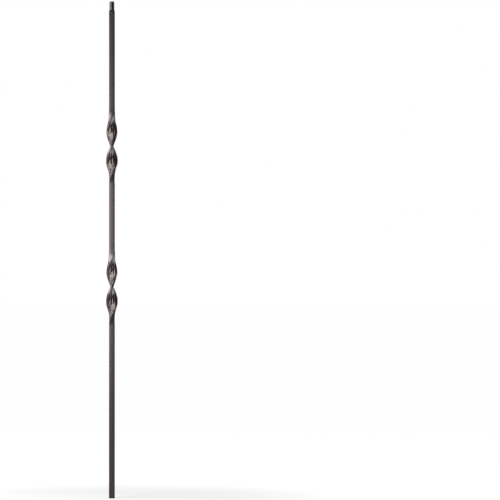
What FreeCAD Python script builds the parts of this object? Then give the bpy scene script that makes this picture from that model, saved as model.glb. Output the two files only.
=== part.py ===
# Iron stair baluster: a square bar with two flattened, petal-stamped and twisted ribbons and a turned dowel top.
# Frame: the axis is Z, the sawn lower end stands at Z = 0, and the bar's faces are square to X and Y. Millimetres.

import FreeCAD, Part
import math
import os

# The bar
LENGTH = 1117.6                # overall, the trade's 44 inch baluster
BAR = 12.7                     # across flats, half inch square bar
BAR_ARRIS = 0.7                # eased long edges of the bar
SAW_CHAMFER = 0.8              # deburred lower end

# The turned upper end
DOWEL_DIAMETER = 11.1
DOWEL_LENGTH = 19.0
DOWEL_CHAMFER = 0.8
SHOULDER_LENGTH = 8.0          # cone that runs from the dowel out to the bar's corners

# The forged ribbons
LOWER_RIBBON_HEIGHT = 475.0    # middle of the lower ribbon above the sawn end
RIBBON_SPACING = 316.0         # middle of one ribbon to the middle of the next
RIBBON_COUNT = 2
RIBBON_LENGTH = 176.0          # bar to bar
RIBBON_WIDTH = 26.2            # in the lower lobe, the wider of the two
UPPER_LOBE_WIDTH = 24.6
LOBE_SPACING = 60.0            # from the widest place of one lobe to that of the other
WIDTH_TAPER = 58.0             # at each end, where the bar spreads into the ribbon
RIBBON_THICKNESS = 6.3
THICKNESS_TAPER = 28.0         # at each end, where the bar thins into the ribbon
THICKNESS_LEAD = 10.0          # the bar keeps its thickness this far into the ribbon
RIBBON_ARRIS = 1.2             # eased edges of the ribbon
RIBBON_TURN = 360.0            # degrees, right-handed, bar to bar
TWIST_EASE = 35.0              # at each end, where the twist dies out
RIBBON_STATIONS = 25           # sections that carry the ribbon's loft

# The petals stamped on both faces of a ribbon
PETAL_COLUMNS = 4              # side by side across the face
PETAL_LENGTH = 22.5
PETAL_WIDTH = 6.2
PETAL_HEIGHT = 0.85
PETAL_PITCH = 25.5             # from one petal to the next in its column
PETAL_EDGE_GAP = 1.6           # from the outer petals to the ribbon's edge
PETAL_BARE_END = 10.0          # plain stretch at each end of a ribbon
PETAL_CROWN = 3.0              # 2 makes a round crown, more a flat one with steep flanks
PETAL_POINT = 0.3              # share of the width drawn in at the tips, 0 leaves them round
PETAL_FACETS = 5               # flats that make the crown of a petal
PETAL_STATIONS = 7             # sections that carry a petal's loft
PETAL_ROOT = 0.25              # depth of a petal's root under the face
PETAL_REACH = 0.97             # share of that depth's length that the loft takes in


def blend(share):
    """Smooth step from 0 to 1 with level ends."""
    held = min(1.0, max(0.0, share))
    return held * held * (3.0 - 2.0 * held)


def ribbon_turn(offset):
    """Turn of a ribbon in degrees: even along its body, dying out towards the bar."""
    half = RIBBON_LENGTH / 2.0
    rate = RIBBON_TURN / 2.0 / (half - TWIST_EASE / 2.0)
    past = max(0.0, abs(offset) - (half - TWIST_EASE))
    turned_by = rate * (abs(offset) - past * past / (2.0 * TWIST_EASE))
    return RIBBON_TURN / 2.0 + math.copysign(turned_by, offset)


def ribbon_section(offset):
    """Width, thickness, arris and turn of a ribbon at a distance along it from its middle."""
    left = RIBBON_LENGTH / 2.0 - abs(offset)
    spread = blend(left / WIDTH_TAPER)
    thinned = blend((left - THICKNESS_LEAD) / THICKNESS_TAPER)
    lobe = RIBBON_WIDTH + (UPPER_LOBE_WIDTH - RIBBON_WIDTH) * blend(offset / LOBE_SPACING + 0.5)
    width = BAR + (lobe - BAR) * spread
    thickness = BAR + (RIBBON_THICKNESS - BAR) * thinned
    arris = BAR_ARRIS + (RIBBON_ARRIS - BAR_ARRIS) * spread
    return width, thickness, arris, ribbon_turn(offset)


def turned(across, out, height, degrees):
    """A point given across the face and out from the axis, in a section turned by an angle."""
    angle = math.radians(degrees)
    return FreeCAD.Vector(
        out * math.cos(angle) - across * math.sin(angle),
        out * math.sin(angle) + across * math.cos(angle),
        height,
    )


def closed_wire(points):
    """Closed wire of straight edges through points."""
    return Part.makePolygon(points + points[:1])


def eased_section(width, thickness, arris, height, degrees):
    """Wire of a rectangle with eased corners, level at a height and turned by an angle."""
    side = width / 2.0
    face = thickness / 2.0
    quarter = ((side, face - arris), (side - arris, face))
    spots = list(quarter)
    spots += [(-across, out) for across, out in reversed(quarter)]
    spots += [(-across, -out) for across, out in quarter]
    spots += [(across, -out) for across, out in reversed(quarter)]
    return closed_wire([turned(across, out, height, degrees) for across, out in spots])


def bar_between(low, high, degrees):
    """Straight square bar between two heights."""
    section = eased_section(BAR, BAR, BAR_ARRIS, low, degrees)
    return Part.Face(section).extrude(FreeCAD.Vector(0, 0, high - low))


def ribbon_body():
    """The plain twisted ribbon about its own middle, with the tapers that lead into the bar."""
    sections = []
    for number in range(RIBBON_STATIONS):
        offset = RIBBON_LENGTH * (number / (RIBBON_STATIONS - 1.0) - 0.5)
        width, thickness, arris, turn = ribbon_section(offset)
        sections.append(eased_section(width, thickness, arris, offset, turn))
    return Part.makeLoft(sections, True, False)


def petal(centre, column, side):
    """One raised petal on a face of the ribbon, following the twist."""
    outer_step = RIBBON_WIDTH / 2.0 - PETAL_EDGE_GAP - PETAL_WIDTH / 2.0
    place = 2.0 * column / (PETAL_COLUMNS - 1.0) - 1.0
    root = (1.0 + PETAL_ROOT / PETAL_HEIGHT) ** (1.0 / PETAL_CROWN)
    sections = []
    for number in range(PETAL_STATIONS):
        swing = math.pi / 2.0 * (2.0 * number / (PETAL_STATIONS - 1.0) - 1.0)
        share = PETAL_REACH * root * math.sin(swing)
        offset = centre + share * PETAL_LENGTH / 2.0
        width, thickness, _, turn = ribbon_section(offset)
        scale = width / RIBBON_WIDTH
        half = scale * PETAL_WIDTH / 2.0 * (1.0 - PETAL_POINT * share ** 2)
        root_half = half * math.sqrt(root ** 2 - share ** 2)
        points = []
        for corner in range(PETAL_FACETS + 1):
            step = root_half * (2.0 * corner / PETAL_FACETS - 1.0)
            fall = math.hypot(share, step / half) ** PETAL_CROWN
            out = thickness / 2.0 + scale * PETAL_HEIGHT * (1.0 - fall)
            points.append(turned(side * (place * outer_step * scale + step), side * out, offset, turn))
        sections.append(closed_wire(points))
    return Part.makeLoft(sections, True, False)


def petals():
    """All the petals of a ribbon: columns side by side, each half a pitch on from its neighbour."""
    reach = RIBBON_LENGTH / 2.0 - PETAL_BARE_END - PETAL_LENGTH / 2.0
    rows = int(reach / (PETAL_PITCH / 2.0))
    stamped = []
    for row in range(-rows, rows + 1):
        for column in range(row % 2, PETAL_COLUMNS, 2):
            for side in (-1, 1):
                stamped.append(petal(row * PETAL_PITCH / 2.0, column, side))
    return stamped


def sawn_end(high):
    """The lower bar, from its sawn and deburred end to a height."""
    inner = BAR - 2.0 * SAW_CHAMFER
    sawn = eased_section(inner, inner, BAR_ARRIS, 0.0, 0.0)
    full = eased_section(BAR, BAR, BAR_ARRIS, SAW_CHAMFER, 0.0)
    return Part.makeLoft([sawn, full], True, True).fuse(bar_between(SAW_CHAMFER, high, 0.0))


def turned_end(low, degrees):
    """The upper bar, from a height to its top, turned down to the dowel."""
    corner = BAR / 2.0 * math.sqrt(2.0)
    radius = DOWEL_DIAMETER / 2.0
    shoulder = LENGTH - DOWEL_LENGTH
    outline = (
        (0.0, low),
        (corner, low),
        (corner, shoulder - SHOULDER_LENGTH),
        (radius, shoulder),
        (radius, LENGTH - DOWEL_CHAMFER),
        (radius - DOWEL_CHAMFER, LENGTH),
        (0.0, LENGTH),
    )
    profile = closed_wire([FreeCAD.Vector(out, 0, height) for out, height in outline])
    lathe = Part.Face(profile).revolve(FreeCAD.Vector(0, 0, 0), FreeCAD.Vector(0, 0, 1), 360)
    return bar_between(low, LENGTH, degrees).common(lathe)


def baluster():
    """The whole baluster as one forged piece."""
    ribbon = ribbon_body().fuse(petals())
    pieces = []
    foot = 0.0
    turn = 0.0
    for number in range(RIBBON_COUNT):
        middle = LOWER_RIBBON_HEIGHT + number * RIBBON_SPACING
        start = middle - RIBBON_LENGTH / 2.0
        pieces.append(sawn_end(start) if number == 0 else bar_between(foot, start, turn))
        placed = ribbon.copy()
        placed.rotate(FreeCAD.Vector(0, 0, 0), FreeCAD.Vector(0, 0, 1), turn)
        placed.translate(FreeCAD.Vector(0, 0, middle))
        pieces.append(placed)
        foot = start + RIBBON_LENGTH
        turn += RIBBON_TURN
    pieces.append(turned_end(foot, turn))
    return pieces[0].fuse(pieces[1:]).removeSplitter()


os.makedirs("parts", exist_ok=True)
whole = baluster()
print("solids", len(whole.Solids), "valid", whole.isValid(), "volume", round(whole.Volume, 1))
whole.Solids[0].exportStep("parts/baluster.step")
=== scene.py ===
"""Iron stair baluster: the forged, stamped and turned bar, dressed and lit for its portrait.

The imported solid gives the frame. One finer mesh of the same form stands for it here, with round petals in
place of flats, rounded arrises in place of eased ones, slightly round bar faces and a satin coat.
"""

from __future__ import annotations

import logging
import math
from dataclasses import dataclass, field
from enum import Enum
from typing import Any

import bpy
import numpy as np
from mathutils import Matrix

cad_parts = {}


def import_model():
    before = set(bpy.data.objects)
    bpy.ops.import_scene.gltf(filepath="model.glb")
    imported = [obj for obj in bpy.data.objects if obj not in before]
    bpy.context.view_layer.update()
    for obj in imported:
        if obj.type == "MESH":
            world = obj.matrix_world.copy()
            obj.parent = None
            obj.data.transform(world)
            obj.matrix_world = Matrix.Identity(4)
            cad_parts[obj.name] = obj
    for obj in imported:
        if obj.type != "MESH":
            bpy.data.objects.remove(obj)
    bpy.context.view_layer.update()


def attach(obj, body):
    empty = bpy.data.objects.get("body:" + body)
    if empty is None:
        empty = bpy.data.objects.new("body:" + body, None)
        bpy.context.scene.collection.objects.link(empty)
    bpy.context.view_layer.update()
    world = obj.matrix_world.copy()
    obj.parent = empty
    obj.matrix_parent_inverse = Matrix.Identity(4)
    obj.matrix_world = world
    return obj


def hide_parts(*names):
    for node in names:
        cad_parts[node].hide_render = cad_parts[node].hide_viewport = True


LOG = logging.getLogger("baluster")
MM = 0.001
NODE = "baluster"
BODY = "root"
LEVEL_TOLERANCE = 1e-6
Colour = tuple[float, float, float, float]
BLACK: Colour = (0.0, 0.0, 0.0, 1.0)
WHITE: Colour = (1.0, 1.0, 1.0, 1.0)

# Colour sockets of a Mix node, which shares their names among its kinds of data.
MIX_FIRST = 6
MIX_SECOND = 7
MIX_RESULT = 2


class Side(Enum):
    """The two stamped faces of a ribbon, which are half a turn apart."""

    FIRST = 1.0
    SECOND = -1.0


class Wire:
    """A shader socket that takes part in Python sums."""

    def __init__(self, recipe: Recipe, socket: Any) -> None:
        """Keep the recipe that holds the socket, and the socket."""
        self.recipe = recipe
        self.socket = socket

    def _sum(self, operation: str, first: Any, second: Any) -> Wire:
        """Add one Math node for two values or wires, and give the wire of its result."""
        return self.recipe.node("ShaderNodeMath", {"operation": operation}, {0: first, 1: second})

    def __add__(self, other: Any) -> Wire:
        """Sum."""
        return self._sum("ADD", self, other)

    def __radd__(self, other: Any) -> Wire:
        """Sum, the other way round."""
        return self._sum("ADD", other, self)

    def __sub__(self, other: Any) -> Wire:
        """Difference."""
        return self._sum("SUBTRACT", self, other)

    def __rsub__(self, other: Any) -> Wire:
        """Difference, the other way round."""
        return self._sum("SUBTRACT", other, self)

    def __mul__(self, other: Any) -> Wire:
        """Product."""
        return self._sum("MULTIPLY", self, other)

    def __rmul__(self, other: Any) -> Wire:
        """Product, the other way round."""
        return self._sum("MULTIPLY", other, self)


class Recipe:
    """A material's or the world's node tree, built node by node."""

    def __init__(self, tree: bpy.types.NodeTree) -> None:
        """Start from an empty tree."""
        self.tree = tree
        self.tree.nodes.clear()

    def node(
        self,
        kind: str,
        settings: dict[str, Any] | None = None,
        inputs: dict[Any, Any] | None = None,
        output: Any = 0,
    ) -> Wire:
        """Add a node.

        Args:
            kind: the node's type.
            settings: its own settings, set first; a colour ramp's stops come under "stops".
            inputs: values or wires for its sockets, by name or number.
            output: name or number of the socket to hand back.

        Returns:
            The wire of that socket.
        """
        made = self.tree.nodes.new(kind)
        for name, value in (settings or {}).items():
            if name == "stops":
                self._set_stops(made.color_ramp, value)
            else:
                setattr(made, name, value)
        for name, value in (inputs or {}).items():
            if isinstance(value, Wire):
                self.tree.links.new(value.socket, made.inputs[name])
            else:
                made.inputs[name].default_value = value
        return Wire(self, made.outputs[output] if len(made.outputs) else None)

    @staticmethod
    def _set_stops(ramp: bpy.types.ColorRamp, stops: tuple[tuple[float, float], ...]) -> None:
        """Give a colour ramp its stops.

        Args:
            ramp: the ramp.
            stops: a place and a grey for each.
        """
        for number, (place, grey) in enumerate(stops):
            stop = ramp.elements[number] if number < len(ramp.elements) else ramp.elements.new(place)
            stop.position = place
            stop.color = (grey, grey, grey, 1.0)

    def mix(self, share: Any, first: Any, second: Any) -> Wire:
        """Mix two colours, by a share that is 0 for the first and 1 for the second."""
        inputs = {"Factor": share, MIX_FIRST: first, MIX_SECOND: second}
        return self.node("ShaderNodeMix", {"data_type": "RGBA"}, inputs, MIX_RESULT)

    def ramp(self, value: Wire, start: float, end: float) -> Wire:
        """Step smoothly from 0 where a value is at the start to 1 at the end, which may lie below it."""
        inputs = {"Value": value, "From Min": start, "From Max": end}
        return self.node("ShaderNodeMapRange", {"interpolation_type": "SMOOTHSTEP"}, inputs)

    def noise(self, place: Wire, scale: float, detail: float, roughness: float) -> Wire:
        """Spread a grey noise over a surface, with finer layers that each add less."""
        inputs = {"Vector": place, "Scale": scale, "Detail": detail, "Roughness": roughness}
        return self.node("ShaderNodeTexNoise", inputs=inputs)

    def finish(self, shader: Wire, kind: str = "ShaderNodeOutputMaterial") -> None:
        """Lead a shader to the tree's output."""
        self.node(kind, inputs={"Surface": shader})


@dataclass(frozen=True)
class SatinIron:
    """Very dark purple-brown satin coat on forged iron, with a faint mottle and a fine grain."""

    name: str = "satin_iron_coat"
    dark: Colour = (0.0110, 0.0061, 0.0054, 1.0)
    light: Colour = (0.0165, 0.0094, 0.0083, 1.0)
    specular: float = 1.0
    sheen: Colour = (1.0, 0.89, 0.86, 1.0)
    roughness: float = 0.27
    roughness_swing: float = 0.04
    mottle_scale: float = 55.0
    mottle_detail: float = 5.0
    mottle_roughness: float = 0.6
    mottle_stops: tuple[tuple[float, float], ...] = ((0.32, 0.0), (0.70, 1.0))
    grain_scale: float = 1100.0
    grain_detail: float = 2.0
    grain_roughness: float = 0.55
    grain_share: float = 0.2
    grain_depth: float = 0.000003
    grain_strength: float = 0.5
    noise_middle: float = 0.5

    def material(self) -> bpy.types.Material:
        """Build the coat.

        Returns:
            The material.
        """
        made = bpy.data.materials.new(self.name)
        made.use_nodes = True
        recipe = Recipe(made.node_tree)
        place = recipe.node("ShaderNodeTexCoord", output="Object")
        mottle = recipe.noise(place, self.mottle_scale, self.mottle_detail, self.mottle_roughness)
        grain = recipe.noise(place, self.grain_scale, self.grain_detail, self.grain_roughness)
        patch = recipe.node("ShaderNodeValToRGB", {"stops": self.mottle_stops}, {"Fac": mottle})
        share = patch * (1.0 - self.grain_share) + grain * self.grain_share
        uneven = (mottle - self.noise_middle) + (grain - self.noise_middle)
        bump = recipe.node(
            "ShaderNodeBump",
            inputs={"Strength": self.grain_strength, "Distance": self.grain_depth, "Height": grain},
            output="Normal",
        )
        coat = recipe.node(
            "ShaderNodeBsdfPrincipled",
            inputs={
                "Base Color": recipe.mix(share, self.dark, self.light),
                "Roughness": self.roughness + uneven * self.roughness_swing,
                "Specular IOR Level": self.specular,
                "Specular Tint": self.sheen,
                "Normal": bump,
            },
            output="BSDF",
        )
        recipe.finish(coat)
        return made


@dataclass(frozen=True)
class DarkRoom:
    """What a gloss sees dark: the room in front, and a tall card to the right behind the baluster.

    The ranges are of a heading from the baluster: its Y for the front, and its X for the card.
    """

    front: tuple[float, float] = (0.25, -0.1)
    card_start: tuple[float, float] = (-0.02, 0.04)
    card_end: tuple[float, float] = (0.7, 0.5)

    def share(self, recipe: Recipe, heading: Wire) -> Wire:
        """Tell how dark each heading is.

        Args:
            recipe: the tree to add to.
            heading: the wire of the heading, of length 1.

        Returns:
            A wire that is 1 where it is dark and 0 where the white background shows.
        """
        behind = recipe.node("ShaderNodeSeparateXYZ", inputs={"Vector": heading}, output="Y")
        aside = recipe.node("ShaderNodeSeparateXYZ", inputs={"Vector": heading}, output="X")
        front = recipe.ramp(behind, *self.front)
        card = recipe.ramp(aside, *self.card_start) * recipe.ramp(aside, *self.card_end)
        return front + (1.0 - front) * card


@dataclass(frozen=True)
class PaleFloor:
    """White studio floor that keeps a soft shadow, in metres from the baluster's foot."""

    name: str = "pale_floor"
    colour: Colour = (0.45, 0.45, 0.45, 1.0)
    near_lift: float = 0.56
    far_lift: float = 0.90
    near: float = 0.15
    far: float = 0.9
    dark_gloss: float = 0.1
    room: DarkRoom = field(default_factory=DarkRoom)

    def material(self) -> bpy.types.Material:
        """Build the floor's material: plain and matt, lifted to white where the camera or a gloss sees it.

        Returns:
            The material.
        """
        made = bpy.data.materials.new(self.name)
        made.use_nodes = True
        recipe = Recipe(made.node_tree)
        matt = recipe.node("ShaderNodeBsdfDiffuse", inputs={"Color": self.colour}, output="BSDF")
        place = recipe.node("ShaderNodeTexCoord", output="Object")
        away = recipe.node("ShaderNodeVectorMath", {"operation": "LENGTH"}, {0: place}, "Value")
        lift = self.near_lift + recipe.ramp(away, self.near, self.far) * (self.far_lift - self.near_lift)
        heading = recipe.node("ShaderNodeVectorMath", {"operation": "NORMALIZE"}, {0: place}, "Vector")
        glossy = recipe.node("ShaderNodeLightPath", output="Is Glossy Ray")
        hidden = self.room.share(recipe, heading) * (1.0 - self.dark_gloss)
        shown = seen_directly(recipe) - glossy * hidden
        glow = recipe.node("ShaderNodeEmission", inputs={"Color": recipe.mix(shown * lift, BLACK, WHITE)})
        recipe.finish(recipe.node("ShaderNodeAddShader", inputs={0: matt, 1: glow}))
        return made


def seen_directly(recipe: Recipe) -> Wire:
    """Tell the rays that show the background from those that light the scene.

    Args:
        recipe: the tree to add to.

    Returns:
        A wire that is 1 for camera, glossy and transmission rays.
    """
    paths = recipe.node("ShaderNodeLightPath", output="Is Camera Ray")
    node = paths.socket.node
    glossy = Wire(recipe, node.outputs["Is Glossy Ray"])
    through = Wire(recipe, node.outputs["Is Transmission Ray"])
    either = recipe.node("ShaderNodeMath", {"operation": "MAXIMUM"}, {0: paths, 1: glossy})
    return recipe.node("ShaderNodeMath", {"operation": "MAXIMUM"}, {0: either, 1: through})


def smooth_step(share: np.ndarray) -> np.ndarray:
    """Step from 0 to 1 with level ends."""
    held = np.clip(share, 0.0, 1.0)
    return held * held * (3.0 - 2.0 * held)


@dataclass(frozen=True)
class BarStock:
    """The square bar that the baluster is forged from, with faintly crowned faces, in millimetres."""

    length: float = 1117.6
    across: float = 12.7
    arris: float = 0.8
    saw_chamfer: float = 0.8
    crown: float = 0.15
    ring_spacing: float = 40.0


@dataclass(frozen=True)
class TurnedTop:
    """The dowel and its shoulder, turned on the bar's upper end, in millimetres."""

    diameter: float = 11.1
    length: float = 19.0
    chamfer: float = 0.8
    shoulder: float = 8.0
    shoulder_rings: int = 22

    def limit(self, height: np.ndarray, stock: BarStock) -> np.ndarray:
        """Give the lathe's radius at each height.

        Args:
            height: heights above the sawn end.
            stock: the bar.

        Returns:
            The largest radius that the lathe leaves.
        """
        corner = stock.across / math.sqrt(2.0)
        radius = self.diameter / 2.0
        seat = stock.length - self.length
        places = [seat - self.shoulder, seat, stock.length - self.chamfer, stock.length]
        return np.interp(height, places, [corner, radius, radius, radius - self.chamfer])


@dataclass(frozen=True)
class PetalColumn:
    """One column of petals on a face, station by station, in millimetres.

    The share is the squared place along a petal, 1 at its tips, and broad is its half width before they
    round off. The middle, low and high are places across the face.
    """

    share: np.ndarray
    broad: np.ndarray
    middle: np.ndarray
    low: np.ndarray
    high: np.ndarray


@dataclass(frozen=True)
class PetalStamp:
    """The petals struck into both faces of a ribbon, in millimetres."""

    columns: int = 4
    length: float = 22.5
    width: float = 6.2
    height: float = 0.85
    pitch: float = 25.5
    edge_gap: float = 1.6
    bare_end: float = 10.0
    crown: float = 3.0
    point: float = 0.3
    crown_steps: int = 10
    valley_steps: int = 2
    least_half: float = 0.3
    least_valley: float = 0.15

    def rows(self, ribbon: RibbonForm) -> int:
        """Count the half-pitch rows on each side of a ribbon's middle."""
        reach = ribbon.length / 2.0 - self.bare_end - self.length / 2.0
        return int(reach / (self.pitch / 2.0))

    def share(self, offset: np.ndarray, column: int, ribbon: RibbonForm) -> np.ndarray:
        """Place each station on the nearest petal of a column.

        Args:
            offset: distances along the ribbon from its middle.
            column: the column's number.
            ribbon: the ribbon.

        Returns:
            -1 to 1 from tip to tip, and past that off the petal.
        """
        rows = [row for row in range(-self.rows(ribbon), self.rows(ribbon) + 1) if row % 2 == column % 2]
        centres = np.array(rows) * self.pitch / 2.0
        nearest = centres[np.abs(offset[:, None] - centres[None, :]).argmin(axis=1)]
        return (offset - nearest) / (self.length / 2.0)

    def face(
        self, offset: np.ndarray, width: np.ndarray, flat: np.ndarray, ribbon: RibbonForm
    ) -> tuple[np.ndarray, np.ndarray]:
        """Lay out the points across a stamped face, with the petals' outlines on them.

        Args:
            offset: distances along the ribbon from its middle, one per station.
            width: the ribbon's width at each station.
            flat: half of the face's flat width at each station.
            ribbon: the ribbon.

        Returns:
            Places across the face and heights above it, stations by points.
        """
        scale = width / ribbon.width
        columns = [self._column(number, offset, scale, flat, ribbon) for number in range(self.columns)]
        valleys = [(left.high + right.low) / 2.0 for left, right in zip(columns, columns[1:])]
        bounds = [-flat, *valleys, flat]
        steps = np.arange(1, self.valley_steps + 1) / self.valley_steps
        swings = np.sin(np.linspace(-math.pi / 2.0, math.pi / 2.0, self.crown_steps + 1))[1:]
        across = [-flat]
        raised = [np.zeros_like(flat)]
        for column, start, end in zip(columns, bounds, bounds[1:]):
            low, high = column.low, column.high
            spots = [start + (low - start) * step for step in steps]
            spots += [(low + high) / 2.0 + (high - low) / 2.0 * swing for swing in swings]
            spots += [high + (end - high) * step for step in steps]
            across += spots
            raised += [self._rise(spot, column, scale) for spot in spots]
        return np.stack(across, axis=1), np.stack(raised, axis=1)

    def _column(
        self, number: int, offset: np.ndarray, scale: np.ndarray, flat: np.ndarray, ribbon: RibbonForm
    ) -> PetalColumn:
        """Lay out one column of petals.

        Args:
            number: the column's number across the face.
            offset: distances along the ribbon from its middle, one per station.
            scale: the ribbon's width against its widest place.
            flat: half of the face's flat width.
            ribbon: the ribbon.

        Returns:
            The column, held inside the face.
        """
        share = self.share(offset, number, ribbon) ** 2
        broad = scale * self.width / 2.0 * (1.0 - self.point * np.clip(share, 0.0, 1.0))
        half = np.maximum(broad * np.sqrt(np.clip(1.0 - share, 0.0, 1.0)), self.least_half)
        outer = (ribbon.width / 2.0 - self.edge_gap - self.width / 2.0) * scale
        middle = outer * (2.0 * number / (self.columns - 1.0) - 1.0)
        edge = flat - self.least_valley
        return PetalColumn(
            share, broad, middle, np.maximum(middle - half, -edge), np.minimum(middle + half, edge)
        )

    def _rise(self, spot: np.ndarray, column: PetalColumn, scale: np.ndarray) -> np.ndarray:
        """Give the height above the face at places across a column, 0 off its petals."""
        fall = (column.share + ((spot - column.middle) / column.broad) ** 2) ** (self.crown / 2.0)
        return scale * self.height * np.clip(1.0 - fall, 0.0, None)


@dataclass(frozen=True)
class RibbonForm:
    """The stretch of bar that is spread flat and twisted, in millimetres and degrees."""

    middles: tuple[float, ...] = (475.0, 791.0)
    length: float = 176.0
    width: float = 26.2
    upper_width: float = 24.6
    lobe_spacing: float = 60.0
    width_taper: float = 58.0
    thickness: float = 6.3
    thickness_taper: float = 28.0
    thickness_lead: float = 10.0
    arris: float = 1.9
    turn: float = 360.0
    twist_ease: float = 35.0
    rings: int = 241

    def spread(self, offset: np.ndarray) -> np.ndarray:
        """Tell how far the bar is spread along the ribbon, from 0 at its ends to 1."""
        return smooth_step((self.length / 2.0 - np.abs(offset)) / self.width_taper)

    def section(self, offset: np.ndarray, stock: BarStock) -> tuple[np.ndarray, np.ndarray, np.ndarray]:
        """Give the section's width, thickness and arris along the ribbon.

        Args:
            offset: distances from the ribbon's middle.
            stock: the bar that it is spread from.

        Returns:
            Widths, thicknesses and the radii of the arrises.
        """
        left = self.length / 2.0 - np.abs(offset)
        spread = self.spread(offset)
        thinned = smooth_step((left - self.thickness_lead) / self.thickness_taper)
        climb = smooth_step(offset / self.lobe_spacing + 0.5)
        lobe = self.width + (self.upper_width - self.width) * climb
        width = stock.across + (lobe - stock.across) * spread
        thickness = stock.across + (self.thickness - stock.across) * thinned
        arris = stock.arris + (self.arris - stock.arris) * spread
        return width, thickness, arris

    def twist(self, offset: np.ndarray) -> np.ndarray:
        """Give the turn in radians along the ribbon, right-handed from its lower end.

        Args:
            offset: distances from the ribbon's middle, past its ends too.

        Returns:
            The turns: even along the body, dying out towards the bar.
        """
        half = self.length / 2.0
        half_turn = math.radians(self.turn) / 2.0
        rate = half_turn / (half - self.twist_ease / 2.0)
        reach = np.clip(np.abs(offset), 0.0, half)
        past = np.clip(reach - (half - self.twist_ease), 0.0, None)
        turned = rate * (reach - past ** 2 / (2.0 * self.twist_ease))
        return half_turn + np.copysign(turned, offset)


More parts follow.
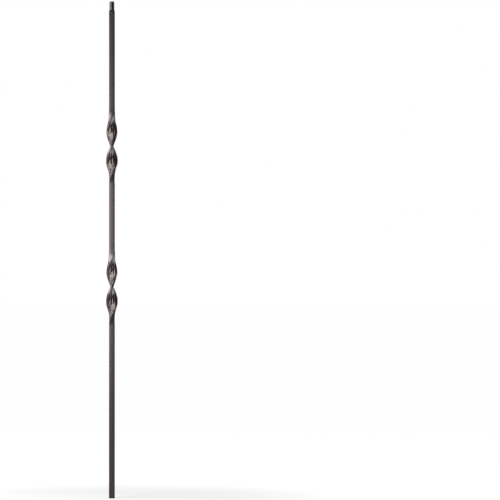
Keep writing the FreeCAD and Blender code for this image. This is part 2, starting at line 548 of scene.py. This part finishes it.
@dataclass
class Baluster:
    """The whole forged piece."""

    stock: BarStock = field(default_factory=BarStock)
    ribbon: RibbonForm = field(default_factory=RibbonForm)
    stamp: PetalStamp = field(default_factory=PetalStamp)
    top: TurnedTop = field(default_factory=TurnedTop)
    finish: SatinIron = field(default_factory=SatinIron)
    name: str = "forged_baluster"
    arris_steps: int = 5
    edge_steps: int = 8
    crease: float = 20.0

    def stations(self) -> np.ndarray:
        """List the heights of all rings, from the sawn end to the dowel's top.

        Returns:
            Heights in millimetres.
        """
        heights = [0.0, self.stock.saw_chamfer]
        foot = self.stock.saw_chamfer
        half = self.ribbon.length / 2.0
        for middle in self.ribbon.middles:
            heights += self._plain(foot, middle - half)
            heights += list(np.linspace(middle - half, middle + half, self.ribbon.rings))[1:]
            foot = middle + half
        seat = self.stock.length - self.top.length
        heights += self._plain(foot, seat - self.top.shoulder)
        heights += list(np.linspace(seat - self.top.shoulder, seat, self.top.shoulder_rings))[1:]
        heights += [self.stock.length - self.top.chamfer, self.stock.length]
        return np.array(heights)

    def _plain(self, low: float, high: float) -> list[float]:
        """Space rings along a plain stretch of bar, without its first."""
        count = max(2, round((high - low) / self.stock.ring_spacing) + 1)
        return list(np.linspace(low, high, count))[1:]

    def points(self) -> np.ndarray:
        """Work out where every point of every ring lies.

        Returns:
            Rings by points by three, in metres.
        """
        height = self.stations()
        middles = np.array(self.ribbon.middles)
        nearest = middles[np.abs(height[:, None] - middles[None, :]).argmin(axis=1)]
        offset = height - nearest
        width, thickness, arris = self.ribbon.section(offset, self.stock)
        sawn = 2.0 * self.stock.saw_chamfer * (height < self.stock.saw_chamfer / 2.0)
        width = width - sawn
        thickness = thickness - sawn
        turn = sum(self.ribbon.twist(height - middle) for middle in self.ribbon.middles)
        across, out = self._half_ring(offset, width, thickness, arris)
        across = np.concatenate([across * side.value for side in Side], axis=1)
        out = np.concatenate([out * side.value for side in Side], axis=1)
        across, out = self._crown(across, out, width, thickness, self.ribbon.spread(offset))
        limit = self.top.limit(height, self.stock)[:, None]
        reach = np.hypot(across, out)
        shrink = np.where(height[:, None] > middles.max() + self.ribbon.length / 2.0, limit / reach, 1.0)
        shrink = np.minimum(shrink, 1.0)
        cosine = np.cos(turn)[:, None]
        sine = np.sin(turn)[:, None]
        spots = [
            (out * cosine - across * sine) * shrink,
            (out * sine + across * cosine) * shrink,
            np.repeat(height[:, None], across.shape[1], axis=1),
        ]
        return np.stack(spots, axis=2) * MM

    def _crown(
        self,
        across: np.ndarray,
        out: np.ndarray,
        width: np.ndarray,
        thickness: np.ndarray,
        spread: np.ndarray,
    ) -> tuple[np.ndarray, np.ndarray]:
        """Draw the corners of the plain bar in a hair, so that its rolled faces are slightly round.

        Args:
            across: places across the face, stations by points.
            out: places out from the axis.
            width: the section's width at each station.
            thickness: its thickness.
            spread: 0 on the plain bar and 1 where the ribbon is full.

        Returns:
            The places across and out, drawn in.
        """
        corner = (2.0 * across / width[:, None]) ** 2 * (2.0 * out / thickness[:, None]) ** 2
        drawn = 1.0 - 2.0 * self.stock.crown / self.stock.across * corner * (1.0 - spread[:, None])
        return across * drawn, out * drawn

    def _half_ring(
        self, offset: np.ndarray, width: np.ndarray, thickness: np.ndarray, arris: np.ndarray
    ) -> tuple[np.ndarray, np.ndarray]:
        """Lay out half of each ring: a stamped face, an arris, a plain edge and an arris.

        Args:
            offset: distances from the nearest ribbon's middle.
            width: the section's width at each station.
            thickness: its thickness.
            arris: the radius of its arrises.

        Returns:
            Places across the face and out from the axis, stations by points.
        """
        flat = width / 2.0 - arris
        deep = thickness / 2.0 - arris
        face, raised = self.stamp.face(offset, width, flat, self.ribbon)
        across = [face]
        out = [thickness[:, None] / 2.0 + raised]
        swings = np.linspace(0.0, math.pi / 2.0, self.arris_steps + 1)
        across.append(flat[:, None] + arris[:, None] * np.sin(swings)[None, 1:])
        out.append(deep[:, None] + arris[:, None] * np.cos(swings)[None, 1:])
        levels = np.linspace(1.0, -1.0, self.edge_steps + 1)[1:]
        across.append(np.repeat(width[:, None] / 2.0, self.edge_steps, axis=1))
        out.append(deep[:, None] * levels[None, :])
        across.append(flat[:, None] + arris[:, None] * np.cos(swings)[None, 1:-1])
        out.append(-deep[:, None] - arris[:, None] * np.sin(swings)[None, 1:-1])
        return np.concatenate(across, axis=1), np.concatenate(out, axis=1)

    def build(self) -> bpy.types.Object:
        """Draw a round tube up from a ring, move its points to the forged form and close its ends.

        Returns:
            The finished piece.
        """
        spots = self.points()
        rings, around = spots.shape[:2]
        bpy.ops.object.select_all(action="DESELECT")
        bpy.ops.mesh.primitive_circle_add(vertices=around, radius=1.0, fill_type="NOTHING")
        piece = bpy.context.active_object
        piece.name = self.name
        piece.data.name = self.name
        draw = piece.modifiers.new("draw_up", "SCREW")
        draw.angle = 0.0
        draw.screw_offset = 1.0
        draw.steps = rings - 1
        draw.render_steps = rings - 1
        draw.use_smooth_shade = True
        bpy.ops.object.modifier_apply(modifier=draw.name)
        self._forge(piece.data, spots)
        self._close_ends(piece)
        bpy.ops.object.shade_smooth_by_angle(angle=math.radians(self.crease))
        piece.data.materials.clear()
        piece.data.materials.append(self.finish.material())
        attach(piece, BODY)
        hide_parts(NODE)
        return piece

    @staticmethod
    def _forge(mesh: bpy.types.Mesh, spots: np.ndarray) -> None:
        """Move each point of the tube to its place on the forged form.

        Args:
            mesh: the tube.
            spots: the places, rings by points by three.
        """
        rings, around = spots.shape[:2]
        flat = np.empty(len(mesh.vertices) * 3, dtype=np.float32)
        mesh.vertices.foreach_get("co", flat)
        tube = flat.reshape(-1, 3)
        ring = np.rint(tube[:, 2] * (rings - 1)).astype(int)
        turn = np.arctan2(tube[:, 1], tube[:, 0])
        point = np.rint(turn / (2.0 * math.pi) * around).astype(int) % around
        mesh.vertices.foreach_set("co", spots[ring, point].astype(np.float32).ravel())
        mesh.update()

    @staticmethod
    def _close_ends(piece: bpy.types.Object) -> None:
        """Fill the sawn end and the dowel's top, and turn every face outwards.

        Args:
            piece: the forged tube, open at both ends.
        """
        bpy.ops.object.mode_set(mode="EDIT")
        for lowest in (True, False):
            bpy.ops.mesh.select_all(action="DESELECT")
            bpy.ops.object.mode_set(mode="OBJECT")
            heights = np.array([vertex.co.z for vertex in piece.data.vertices])
            level = heights.min() if lowest else heights.max()
            for number in np.nonzero(np.abs(heights - level) < LEVEL_TOLERANCE)[0]:
                piece.data.vertices[int(number)].select = True
            bpy.ops.object.mode_set(mode="EDIT")
            bpy.ops.mesh.edge_face_add()
        bpy.ops.mesh.select_all(action="SELECT")
        bpy.ops.mesh.normals_make_consistent(inside=False)
        bpy.ops.mesh.select_all(action="DESELECT")
        bpy.ops.object.mode_set(mode="OBJECT")


@dataclass(frozen=True)
class Softbox:
    """One flat studio lamp, in metres, watts and degrees about the baluster."""

    name: str
    azimuth: float
    distance: float
    width: float
    height: float
    power: float
    aim: float = 0.62

    def build(self) -> bpy.types.Object:
        """Hang the lamp, facing the baluster's axis.

        Returns:
            The lamp.
        """
        turn = math.radians(self.azimuth)
        spot = (math.sin(turn) * self.distance, -math.cos(turn) * self.distance, self.aim)
        bpy.ops.object.light_add(type="AREA", location=spot)
        lamp = bpy.context.active_object
        lamp.name = self.name
        lamp.rotation_euler = (math.pi / 2.0, 0.0, turn)
        lamp.data.shape = "RECTANGLE"
        lamp.data.size = self.width
        lamp.data.size_y = self.height
        lamp.data.energy = self.power
        lamp.visible_camera = False
        return lamp


@dataclass
class Studio:
    """Floor, lamps, surroundings and camera."""

    floor: PaleFloor = field(default_factory=PaleFloor)
    floor_size: float = 60.0
    ambient: float = 0.2
    dark_gloss: float = 0.04
    lens: float = 300.0
    sensor: float = 36.0
    sight: float = 200.0
    frame_px: float = 500.0
    axis_px: float = 111.9
    top_px: float = 1.6
    foot_px: float = 498.3
    seen_turn: float = 4.6
    lamps: tuple[Softbox, ...] = (
        Softbox("key_softbox", azimuth=-48.0, distance=1.0, width=1.0, height=0.96, power=22.0, aim=0.68),
        Softbox("front_softbox", azimuth=-12.0, distance=1.6, width=0.45, height=0.5, power=1.9),
        Softbox("fill_softbox", azimuth=-12.0, distance=1.7, width=0.48, height=1.4, power=1.16),
        Softbox("side_softbox", azimuth=112.0, distance=1.5, width=1.0, height=0.5, power=6.0, aim=0.42),
    )

    def build(self, stock: BarStock) -> None:
        """Set everything up around the baluster.

        Args:
            stock: the bar, for its length.
        """
        self._lay_floor()
        self._light_room()
        for lamp in self.lamps:
            lamp.build()
            LOG.info("lamp %s", lamp.name)
        self._set_camera(stock.length * MM)

    def _lay_floor(self) -> None:
        """Lay the floor under the sawn end."""
        bpy.ops.object.select_all(action="DESELECT")
        bpy.ops.mesh.primitive_plane_add(size=self.floor_size, location=(0.0, 0.0, 0.0))
        plane = bpy.context.active_object
        plane.name = "studio_floor"
        plane.data.materials.append(self.floor.material())

    def _light_room(self) -> None:
        """Give the room its plain ambient light and its white background."""
        world = bpy.data.worlds.new("studio_room")
        bpy.context.scene.world = world
        world.use_nodes = True
        recipe = Recipe(world.node_tree)
        seen = seen_directly(recipe)
        glossy = recipe.node("ShaderNodeLightPath", output="Is Glossy Ray")
        ray = recipe.node("ShaderNodeTexCoord", output="Generated")
        dark = self.floor.room.share(recipe, ray)
        strength = self.ambient + seen * (1.0 - self.ambient) - glossy * dark * (1.0 - self.dark_gloss)
        glow = recipe.node("ShaderNodeBackground", inputs={"Color": WHITE, "Strength": strength})
        recipe.finish(glow, "ShaderNodeOutputWorld")

    def _set_camera(self, length: float) -> None:
        """Stand the camera where the photograph was taken from.

        Args:
            length: the baluster's length in metres.
        """
        pixel = length / (self.foot_px - self.top_px)
        half_frame = self.frame_px * pixel / 2.0
        distance = half_frame / (self.sensor / 2.0 / self.lens)
        aside = (self.frame_px / 2.0 - self.axis_px) * pixel
        turn = math.radians(self.seen_turn) - math.atan(aside / distance)
        right = np.array([math.cos(turn), math.sin(turn), 0.0])
        back = np.array([math.sin(turn), -math.cos(turn), 0.0])
        level = (self.foot_px - self.frame_px / 2.0) * pixel
        spot = right * aside + back * distance + np.array([0.0, 0.0, level])
        bpy.ops.object.camera_add(location=spot.tolist(), rotation=(math.pi / 2.0, 0.0, turn))
        camera = bpy.context.active_object
        camera.name = "portrait_camera"
        camera.data.lens = self.lens
        camera.data.sensor_fit = "HORIZONTAL"
        camera.data.sensor_width = self.sensor
        camera.data.clip_end = self.sight
        bpy.context.scene.camera = camera


def main() -> None:
    """Build the baluster and its studio."""
    logging.basicConfig(level=logging.INFO, format="%(name)s: %(message)s")
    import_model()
    bpy.context.scene.view_settings.view_transform = "Standard"
    baluster = Baluster()
    piece = baluster.build()
    LOG.info("%s: %d faces", piece.name, len(piece.data.polygons))
    Studio().build(baluster.stock)


if __name__ == "__main__":
    main()
